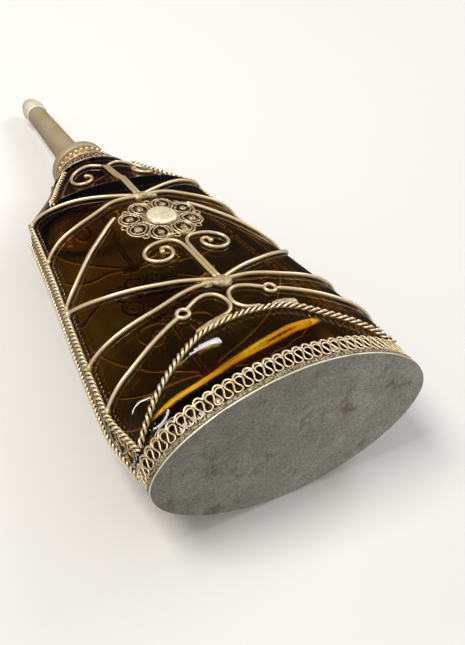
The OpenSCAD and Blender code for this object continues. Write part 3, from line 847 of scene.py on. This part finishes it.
def make_side_lattice(sx, name):
    """Pointed leaves of wire between the two ropes, with beads of solder."""
    lattice = Shape()
    low, high = GALLERY_H + 2.0, SHOULDER_Z - 1.0
    leaf = 4.2
    wire = 0.32
    count = round((high - low) / leaf)

    def at(z, share, lift):
        p = side_point(z, share * (rope_y(z) - ROPE_R - 0.3), lift)
        return Vector((sx * p.x, p.y, p.z))

    for i in range(count):
        z0 = low + (high - low) * i / count
        z1 = low + (high - low) * (i + 1) / count
        for sy in (-1, 1):
            path = []
            for k in range(17):
                t = k / 16
                z = z0 + (z1 - z0) * (t + 0.12 * math.sin(2 * math.pi * t))
                path.append(at(z, sy * math.sin(math.pi * t) ** 0.8, wire + TRIM_GAP + 0.1))
            tube(lattice, path, wire, 6)
        for sy in (-1, 0, 1):
            centre = at(z0 if sy == 0 else (z0 + z1) / 2, sy, 0.55)
            ball(lattice, centre, 0.62 if sy == 0 else 0.45, 0.8, Vector((sx, 0, 0)), 0.75, 0.4, 5)
    piece(f"{name}_leaves", lattice, shaded_lattice_metal, "flask", "filigree", name)


def make_arch(back, name):
    strands = Shape()
    outline = mirrored(ARCH_LEFT[::-1]) + ARCH_RIGHT
    rope(strands, on_front(outline, ROPE_R + TRIM_GAP), ROPE_LAY, -1)
    face_piece(name, "twist", strands, back, rope_metal, "silver_rope")


def make_ribs(back, name):
    wires = Shape()
    for outline in (RIB_A, RIB_B, RIB_C, RIB_D, RIB_E, RIB_F):
        shift = ornament_shift(back, RING_SHIFT if outline is RIB_F else FRONT_SHIFT)
        for half in both_halves(outline, shift):
            path = on_front(half, WIRE_R + TRIM_GAP)
            tube(wires, path, WIRE_R, 10)
            # A drop of solder holds its end on the side rope
            ball(wires, path[-1], rng.uniform(0.95, 1.25), 0.8, outward(path[-1]), 0.85, 0.35, 7)
    face_piece(name, "drawn", wires, back, wire_metal, "silver_wire")


def drop(shape, x, z, wide, tall, thick, slope=0.0, rough=0.35):
    """A flattened blob of solder on the front."""
    origin, right, up, out = surface_frame(x, z, 0.35)
    rows, sides = 14, 36
    tilt = math.radians(slope)
    points = []
    for i in range(rows + 1):
        lat = math.pi * (i / rows - 0.5)
        for k in range(sides):
            c, s = (math.cos(lat) * v for v in spin(k, sides))
            lump = 1 + rough * noise.noise(Vector((c * 1.3 + x, s * 1.3 + z, math.sin(lat))))
            a, b = c * wide * lump, s * tall * lump
            depth = spow(math.sin(lat), 0.6) * (thick if lat > 0 else 0.25)
            if lat > 0.2:
                depth += 0.16 * noise.noise(Vector((a * 1.6 + x, b * 1.6 + z, 3)))
            px = a * math.cos(tilt) - b * math.sin(tilt)
            py = a * math.sin(tilt) + b * math.cos(tilt)
            points.append(origin + right * px + up * py + out * depth)
    shape.add(points, rings_faces(rows + 1, sides, False), [0.75] * len(points))


def make_solder(back, name):
    blobs = Shape()
    shift = ornament_shift(back)
    (upper_x, upper_z), (lower_x, lower_z) = UPPER_JOINT, LOWER_JOINT
    # As [x, z, half width, half height, thickness, slope in degrees]; the last two join the
    # scrolls to the rosette
    for x, z, *size in ((upper_x, upper_z, 2.9, 1.9, 1.5),
                        (upper_x + 3.6, upper_z - 1.2, 2.2, 0.8, 1.0, -10),
                        (lower_x - 0.2, lower_z - 0.3, 3.1, 2.4, 1.5),
                        (lower_x - 4.5, lower_z + 0.5, 2.0, 1.5, 1.3),
                        (3.2, 75.4, 2.0, 1.1, 1.5, 10), (-2.2, 75.0, 1.6, 0.9, 1.5, -10)):
        drop(blobs, x + shift, z, *size)
    for x, z, length, tilt in PADS:
        drop(blobs, x - (RING_SHIFT if back else 0), z, length / 2, 1.3, 1.25, tilt, 0.3)
    face_piece(name, "drops", blobs, back, solder_metal, "solder")


def ornament_path(x, z, lift, outline):
    """Points of a flat ornament; outline gives its right and up offsets."""
    origin, right, up, _ = surface_frame(x, z, lift)
    return [origin + right * a + up * b for a, b in outline]


def make_rosette(back, name):
    """Eight wire petals round a plaque, each with a small oval plate in it."""
    flower = Shape()
    shift = ornament_shift(back)
    for k in range(8):
        angle = math.radians(22.5 + 45 * k)
        c, s = math.cos(angle), math.sin(angle)
        x = shift + 10.3 * c + rng.uniform(-0.3, 0.3)
        z = ROSETTE_Z + 8.6 * s + rng.uniform(-0.3, 0.3)

        def petal(radius, squeeze, pull, count=26):
            """A loop round the petal's middle, pointed towards the plaque."""
            made = []
            for j in range(count):
                ct, st = spin(j, count)
                point = 1 + pull * max(0.0, -ct) ** 3
                a, b = radius * point * ct, radius * squeeze * st
                made.append((a * c - b * s, a * s + b * c))
            return made

        wide = rng.uniform(0.94, 1.03)
        tube(flower, ornament_path(x, z, 0.75, petal(3.6 * wide, 1.0, 0.3)), 0.36, 7, closed=True)
        tube(flower, ornament_path(x, z, 0.95, petal(2.75 * wide, 0.9, 0.2)), 0.27, 6, closed=True)
        origin, right, up, out = surface_frame(x, z, 0.9)
        ball(flower, origin, rng.uniform(1.1, 1.4), 0.45, out, 0.8, 0.4, 8)
        for j in range(12):
            ct, st = spin(j + rng.uniform(0.2, 0.8), 12)
            reach = rng.uniform(1.7, 3.4)
            p = origin + right * (reach * ct) + up * (reach * st)
            ball(flower, p, rng.uniform(0.25, 0.42), 0.9, out, rng.uniform(0.3, 0.8), 0.3, 4)
        # A curl outside and a bead inside, between this petal and the next
        edge = angle + math.radians(22.5)
        c, s = math.cos(edge), math.sin(edge)
        curl = ornament_path(shift + 13.0 * c, ROSETTE_Z + 11.0 * s, 0.7, circle(0.95, 12))
        tube(flower, curl, 0.30, 6, closed=True)
        origin, _, _, out = surface_frame(shift + 6.1 * c, ROSETTE_Z + 5.2 * s, 1.0)
        ball(flower, origin, 0.75, 0.7, out, 0.7, 0.3, 5)
    for reach, height, wire in ((5.5, 0.95, 0.42), (5.0, 1.6, 0.35)):
        tube(flower, ornament_path(shift, ROSETTE_Z, height, circle(reach, 40, 0.92)), wire, 7, closed=True)
    face_piece(name, "petals", flower, back, filigree_metal, "filigree")


def make_rosette_disc(back, name):
    """The raised plaque in the rosette's middle, with a worn uneven edge."""
    plaque = Shape()
    origin, right, up, out = surface_frame(ornament_shift(back), ROSETTE_Z, TRIM_GAP + ROSETTE_LIFT)
    profile = [(0.3, 0.15), (3.4, 0.15), (3.6, 1.0), (4.6, 1.35), (4.95, 1.7), (4.7, 2.1), (3.9, 2.4),
               (2.6, 2.55), (1.2, 2.6), (0.3, 2.6)]
    sides = 48
    points = []
    for r, h in profile:
        for k in range(sides):
            c, s = spin(k, sides)
            size = r * (1 + 0.035 * noise.noise(Vector((c * 2, s * 2, 0)))) if r > 3 else r
            bump = 0.07 * noise.noise(Vector((r * c, r * s, 5)) * 0.9) if h > 2 else 0.0
            points.append(origin + right * (size * c) + up * (size * s) + out * (h + bump))
    polish = [0.1 if h < 1.2 else 0.9 for _, h in profile for k in range(sides)]
    plaque.add(points, rings_faces(len(profile), sides, False), polish)
    face_piece(name, "plaque", plaque, back, disc_metal, "rosette_disc")


def make_scrolls(back, name, outline):
    """A pair of scrolls, each with a small ball at its inner end."""
    wires = Shape()
    shift = ornament_shift(back)
    for half in (outline, mirrored(outline)):
        path = on_front([(x + shift, z) for x, z in half], SCROLL_R + TRIM_GAP)
        tube(wires, path, SCROLL_R, 10)
        ball(wires, path[-1], 0.85, 0.85, outward(path[-1]), 0.9, 0.1, 6)
    face_piece(name, "wires", wires, back, wire_metal, "silver_wire")


def make_rings(back, name):
    wires = Shape()
    shift = ornament_shift(back, RING_SHIFT)
    for side, outline in ((-1, mirrored(ARC)), (1, ARC)):
        tube(wires, on_front([(x + shift, z) for x, z in outline], SCROLL_R + TRIM_GAP), SCROLL_R, 10)
        loop = ornament_path(shift + side * RING_X, RING_Z, SCROLL_R + TRIM_GAP + 0.05, circle(RING_R, 28))
        tube(wires, loop, SCROLL_R, 10, closed=True)
    face_piece(name, "wires", wires, back, wire_metal, "silver_wire")


def make_shoulder_stem(back, name):
    wires = Shape()
    for x in (-0.65, 0.65):
        points = [front(ornament_shift(back) + x, z, SCROLL_R + TRIM_GAP + 0.1)
                  for z in (104.4, 110, 115.8, 117, 118.5, 120.5, 123, 126, 130.4)]
        tube(wires, curve(points, 4), SCROLL_R, 9)
    face_piece(name, "wires", wires, back, wire_metal, "silver_wire")


def make_shoulder_ropes(sx, name):
    """One rope on the front and one on the back, which is the front turned half round."""
    strands = Shape()
    runs = [mirrored(SHOULDER_RUN_LEFT), SHOULDER_RUN_RIGHT]
    near, far = runs if sx < 0 else reversed(runs)
    lift = ROPE_R + TRIM_GAP + 0.2
    rope(strands, on_front(near, lift), SHOULDER_LAY)
    rope(strands, turned(on_front(far, lift)), SHOULDER_LAY)
    piece(f"{name}_twist", strands, rope_metal, "flask", "silver_rope", name)


def make_shoulder_loop(sx, name):
    wire = Shape()
    run = [(142.5, 1), (137, 0.2), (131, 1), (125, 2.2), (120.6, 1.8), (117.6, 0.2)]
    path = [Vector((sx * (half_w(q.x) + WIRE_R + q.y), 0, q.x))
            for q in curve([(z, d, 0) for z, d in run], 5)]
    tube(wire, path, WIRE_R, 10, out=lambda p: Vector((0, 1, 0)))
    piece(f"{name}_wire", wire, wire_metal, "flask", "silver_wire", name)


# ---- neck
def neck_out(p):
    return Vector((p.x, p.y, 0)).normalized()


def make_skirt():
    """Filigree skirt: pinched loops of wire between two rings, with small balls on them."""
    skirt = Shape()
    low, high = 139.6, NECK_Z - 0.15
    loops = 26
    sides = 120

    def at(share, z, lift):
        return Vector((*oval(*section(z, lift), share), z))

    for z, wire in ((low, 0.32), (high - 0.2, 0.35)):
        tube(skirt, [at(k / sides, z, 0.6) for k in range(sides)], wire, 6, closed=True)
    turn = [(0.0, 0.06), (0.24, 0.08), (0.36, 0.22), (0.25, 0.5), (0.13, 0.78), (0.26, 0.92), (0.5, 0.95),
            (0.74, 0.92), (0.87, 0.78), (0.75, 0.5), (0.64, 0.22), (0.76, 0.08)]
    path = [at((i + s) / loops, low + (high - low) * h, 0.62) for i in range(loops) for s, h in turn]
    tube(skirt, curve(path + path[:1], 2)[:-1], 0.27, 6, closed=True)
    for i in range(loops):
        for share, height, r in ((0.5, 0.66, 0.36), (1.0, 0.34, 0.36), (0.0, 0.0, 0.42)):
            p = at((i + share) / loops, low + (high - low) * height, 0.55)
            ball(skirt, p, r, 0.8, outward(p), 0.8, 0.3, 4)
    piece("neck_skirt_filigree", skirt, filigree_metal, "flask", "filigree", "neck_skirt")


def make_beads():
    beads = Shape()
    count = 30
    r = 0.85
    reach = (ferrule_high.x - ferrule_low.x) / 2 + r + 0.02
    for k in range(count):
        c, s = spin(k, count)
        p = Vector((reach * c, reach * s, NECK_Z + 3.1))
        ball(beads, p, r * rng.uniform(0.92, 1.0), 1.0, neck_out(p), 0.9, 0.08, 8)
    piece("bead_ring_beads", beads, bead_metal, "flask", "silver_sheet", "bead_ring")


def helix(shape, radius, wire, z0, turns, pitch):
    steps = 26
    path = []
    for i in range(int(turns * steps) + 1):
        c, s = spin(i, steps)
        path.append(Vector((radius * c, radius * s, z0 + pitch * i / steps)))
    tube(shape, path, wire, 6, out=neck_out)


def make_ferrule():
    """The collar cemented on the neck, with the threaded spigot for the spout."""
    collar = Shape()
    top = NECK_TOP + 0.9
    spigot_top = ferrule_high.z
    low, core, bore, inner, rim = NECK_Z, 3.4, 2.4, 7.7, 9.6
    profile = [(bore, NECK_TOP), (inner, NECK_TOP), (inner, low), (rim - 0.15, low), (rim, low + 0.15),
               (rim, low + 0.7), (rim - 0.25, low + 0.85), (rim - 0.25, low + 1.5), (rim, low + 1.7),
               (rim, top - 0.2), (rim - 0.15, top), (core + 0.1, top), (core, top + 0.1),
               (core, spigot_top - 0.3), (core - 0.3, spigot_top), (bore, spigot_top)]
    lathe(collar, profile, 96)
    helix(collar, core + 0.12, 0.36, top + 1.6, 2.0, 2.5)
    piece("neck_ferrule_collar", collar, sheet_metal, "flask", "silver_sheet", "neck_ferrule")


# ---- spout and cap
def make_spout():
    """The tapered tube: flange, turned foot, long cone and nipple."""
    spout = Shape()
    z0 = spout_low.z
    step_z = cap_low.z - 0.1
    tip = spout_high.z
    flange = (spout_high.x - spout_low.x) / 2
    bore, channel = 4.25, 1.6
    foot = [(bore, 0), (flange - 0.6, 0), (flange - 0.15, 0.2), (flange, 0.6), (flange, 2.9),
            (flange - 0.15, 3.4), (flange - 0.5, 3.8), (flange - 1.1, 4.0), (7.4, 4.1), (6.6, 4.25),
            (6.2, 4.6), (5.9, 5.1), (5.7, 5.5), (5.75, 5.9), (5.6, 6.3), (5.3, 6.7), (5.2, 7.6)]
    outer = [(r, z0 + h) for r, h in foot]
    cone = 22
    for k in range(1, cone + 1):
        share = k / cone
        outer.append((5.2 - 1.25 * share, z0 + 7.6 + (step_z - 0.2 - z0 - 7.6) * share))
    outer += [(3.8, step_z), (3.05, step_z), (3.0, step_z + 0.1), (3.0, tip - 0.3), (2.7, tip),
              (channel + 0.5, tip), (channel + 0.5, tip - 0.8), (channel, tip - 0.8), (channel, z0 + 7.9),
              (bore, z0 + 7.3)]
    polish = [0.25 if z0 + 3.6 < z < z0 + 5.6 else clamp(0.55 + 0.05 * r) for r, z in outer]

    def wobble(x, y, z):
        if z < z0 + 7 or z > step_z - 1 or math.hypot(x, y) < 3:
            return 0.0
        return 0.05 * noise.noise(Vector((x, y, z)) * 0.16) - 0.05

    lathe(spout, outer, 96, polish, wobble)
    piece("spout_tube", spout, spout_metal, "spout", "spout_metal", "sprinkler_spout")


def make_cap():
    """The domed cap, with a rolled step at its mouth."""
    cap = Shape()
    low = cap_low.z
    bore, depth = 3.1, 5.2
    mouth = [(bore, 0), (4.0, 0), (4.35, 0.12), (4.52, 0.45), (4.52, 0.95), (4.38, 1.2), (4.3, 1.5)]
    outer = [(r, low + h) for r, h in mouth]
    dome = 18
    height = cap_high.z - low - 1.5
    for k in range(1, dome):
        share = k / dome
        belly = 4.3 + 0.3 * math.sin(math.pi * clamp(share * 2.4))
        outer.append((belly * math.cos(math.pi / 2 * share ** 1.75) ** 0.85, low + 1.5 + height * share))
    outer += [(0.12, cap_high.z), (0.05, cap_high.z - 0.3), (0.05, low + depth + 0.2),
              (bore - 0.3, low + depth), (bore, low + depth - 0.3)]
    polish = [0.3 if 1.0 < z - low < 1.45 else 0.85 for _, z in outer]

    def wobble(x, y, z):
        return 0.04 * noise.noise(Vector((x, y, z)) * 0.5) - 0.04 if math.hypot(x, y) > 3.3 else 0.0

    lathe(cap, outer, 72, polish, wobble)
    piece("cap_dome", cap, cap_metal, "cap", "cap_metal", "spout_cap")


def repaint(name, material):
    """Gives a CAD node that stays its own finish."""
    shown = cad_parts[name]
    shown.data.materials.clear()
    shown.data.materials.append(material)


make_flask()
make_base()
make_base_band()
make_gallery()
make_side_ropes()
for sx, word in ((-1, "left"), (1, "right")):
    make_side_lattice(sx, f"side_lattice_{word}")
    make_shoulder_ropes(sx, f"shoulder_rope_{word}")
    make_shoulder_loop(sx, f"shoulder_loop_{word}")
for back, word in ((False, "front"), (True, "back")):
    make_arch(back, f"arch_rope_{word}")
    make_ribs(back, f"rib_wires_{word}")
    make_solder(back, f"solder_joints_{word}")
    make_rosette(back, f"rosette_{word}")
    make_rosette_disc(back, f"rosette_disc_{word}")
    make_scrolls(back, f"stem_scrolls_{word}", SCROLL)
    make_rings(back, f"ring_loops_{word}")
    make_scrolls(back, f"shoulder_scrolls_{word}", SHOULDER_SCROLL)
    make_shoulder_stem(back, f"shoulder_stem_{word}")
make_skirt()
make_beads()
make_ferrule()
make_spout()
make_cap()
repaint("sealing_washer", leather)
repaint("neck_cement", plaster)
repaint("sprinkler_disc", sheet_metal)


# ---- camera
CAMERA_PLACE = Vector((-103.57, -163.69, -114.83))
CAMERA_YAW, CAMERA_PITCH, CAMERA_ROLL = (math.radians(a) for a in (34.3, 39.72, -6.53))
CAMERA_LENS, CAMERA_SENSOR = 46.33, 36


def make_camera():
    """The bottle lies on its back, so the camera's own up is about -Y."""
    level = Vector((math.sin(CAMERA_YAW), 0, math.cos(CAMERA_YAW)))
    table_up = Vector((0, -1, 0))
    forward = level * math.cos(CAMERA_PITCH) - table_up * math.sin(CAMERA_PITCH)
    right = forward.cross(table_up).normalized()
    down = forward.cross(right)
    c, s = math.cos(CAMERA_ROLL), math.sin(CAMERA_ROLL)
    axes = (right * c + down * s, right * s - down * c, -forward)
    data = bpy.data.cameras.new("camera")
    data.lens, data.sensor_width = CAMERA_LENS, CAMERA_SENSOR
    data.clip_start, data.clip_end = 0.01, 10
    camera = new_object("camera", data)
    camera.matrix_world = Matrix.Translation(CAMERA_PLACE * MM) @ Matrix(axes).transposed().to_4x4()
    bpy.context.scene.camera = camera


# ---- stage
STAGE_COLOUR = (0.70, 0.70, 0.69)
STAGE_REACH = 0.9           # metres to where the stage has faded out
WALL_COLOUR = (0.60, 0.60, 0.60)
CEILING_COLOUR = (0.034, 0.034, 0.036)
# Lit places, as [direction, colour, cosines where each begins and is full]: a soft one
# seen through the bottle's left side, and a bright one seen through the wave in the glass
LIT_PLACES = [((0.12, 0.55, 0.826), (0.17, 0.155, 0.12), 0.945, 0.998),
              ((0.36, 0.91, 0.21), (1.9, 2.0, 1.7), 0.92, 0.985)]


# The bottle lies on its base's back edge and on the spout's flange, at this height
FLANGE_R, FLANGE_Z = 10.9, 152.0
TABLE_GAP = 0.4
FLOOR_GAP = 0.1
CEILING_FADE = (0.30, 0.55)     # upward share of a direction where the ceiling begins and is full
LAMP_TARGET = Vector((0, 0, 0.08))
STRIP_TARGET = Vector((0, 0, 0.03))
# Lamps as [name, place, side, power, colour], and thin ones, for a bright line on the glass,
# as [name, one end, other end, width, power]; in metres and watts
LAMPS = [("key", (-0.42, -0.85, 0.16), 0.4, 8, (1.0, 0.95, 0.87)),
         ("side_fill", (0.75, -0.62, 0.22), 0.35, 3, (1, 1, 1)),
         ("back_fill", (-0.45, 0.8, 0.35), 0.5, 1.6, (1, 1, 1))]
STRIPS = [("window_strip", (-0.042, -0.443, 0.430), (0.162, -0.406, 0.435), 0.007, 0.07),
          ("corner_strip", (-0.52, -0.16, 0.33), (-0.30, -0.42, 0.366), 0.006, 0.12)]


def stage_material(name):
    """Pale and matt, clear from behind, and fading out at its edge."""
    n = Nodes(name)
    n.finish(Base_Color=(*STAGE_COLOUR, 1), Roughness=0.9, Specular_IOR_Level=0.1)
    ends = n.add("ShaderNodeVectorMath", {0: n.place}, operation="LENGTH")
    behind = n.add("ShaderNodeNewGeometry").outputs["Backfacing"]
    faded = n.ramp(ends.outputs["Value"], STAGE_REACH * 0.6, STAGE_REACH)
    clear = n.add("ShaderNodeBsdfTransparent").outputs[0]
    inputs = {0: n.maths("MAXIMUM", behind, faded), 1: n.shader.outputs[0], 2: clear}
    n.output("Surface", n.add("ShaderNodeMixShader", inputs).outputs[0])
    return n.owner


def make_sheet(name, place, turn, material):
    mesh = bpy.data.meshes.new(name)
    r = STAGE_REACH
    mesh.from_pydata([(-r, -r, 0), (r, -r, 0), (r, r, 0), (-r, r, 0)], [], [(0, 1, 2, 3)])
    mesh.materials.append(material)
    sheet = new_object(name, mesh)
    sheet.matrix_world = Matrix.Translation(place) @ turn
    for ray in ("shadow", "diffuse", "glossy", "transmission"):
        setattr(sheet, f"visible_{ray}", False)


def make_stage():
    """A floor under the standing bottle, and the table that its back rests on."""
    material = stage_material("stage_paper")
    make_sheet("floor", Vector((0, 0, -FLOOR_GAP * MM)), Matrix.Identity(4), material)
    lean = math.atan2(BASE_D / 2 - FLANGE_R, FLANGE_Z)
    make_sheet("table", Vector((0, (BASE_D / 2 + TABLE_GAP) * MM, 0)),
               Matrix.Rotation(math.pi / 2 + lean, 4, "X"), material)


def make_world():
    """A studio: pale walls, a dark ceiling and the lit places."""
    n = Nodes("studio", world=True)
    colour = n.mix(n.ramp(n.along("Z"), *CEILING_FADE), WALL_COLOUR, CEILING_COLOUR)
    for direction, lit_colour, begins, full in LIT_PLACES:
        near = n.add("ShaderNodeVectorMath", {0: n.place, 1: direction}, operation="DOT_PRODUCT")
        colour = n.mix(n.ramp(near.outputs["Value"], begins, full), colour, lit_colour)
    bpy.context.scene.world = n.finish(Color=colour, Strength=1.0)


def lamp(name, place, turn, size, power, colour=(1, 1, 1)):
    """A rectangular lamp; turn is its rotation, with Z pointing away from what it lights."""
    data = bpy.data.lights.new(name, "AREA")
    data.shape = "RECTANGLE"
    data.size, data.size_y = size
    data.energy = power
    data.color = colour
    new_object(name, data).matrix_world = Matrix.Translation(place) @ turn.to_4x4()


def make_lights():
    for name, place, side, power, colour in LAMPS:
        place = Vector(place)
        turn = (place - LAMP_TARGET).to_track_quat("Z", "Y").to_matrix()
        lamp(name, place, turn, (side, side), power, colour)
    for name, start, end, width, power in STRIPS:
        start, end = Vector(start), Vector(end)
        middle = (start + end) / 2
        along = (end - start).normalized()
        right = (middle - STRIP_TARGET).normalized().cross(along).normalized()
        turn = Matrix((along, right, along.cross(right))).transposed()
        lamp(name, middle, turn, ((end - start).length, width), power)
    bpy.context.scene.view_settings.view_transform = "Standard"


make_camera()
make_stage()
make_world()
make_lights()
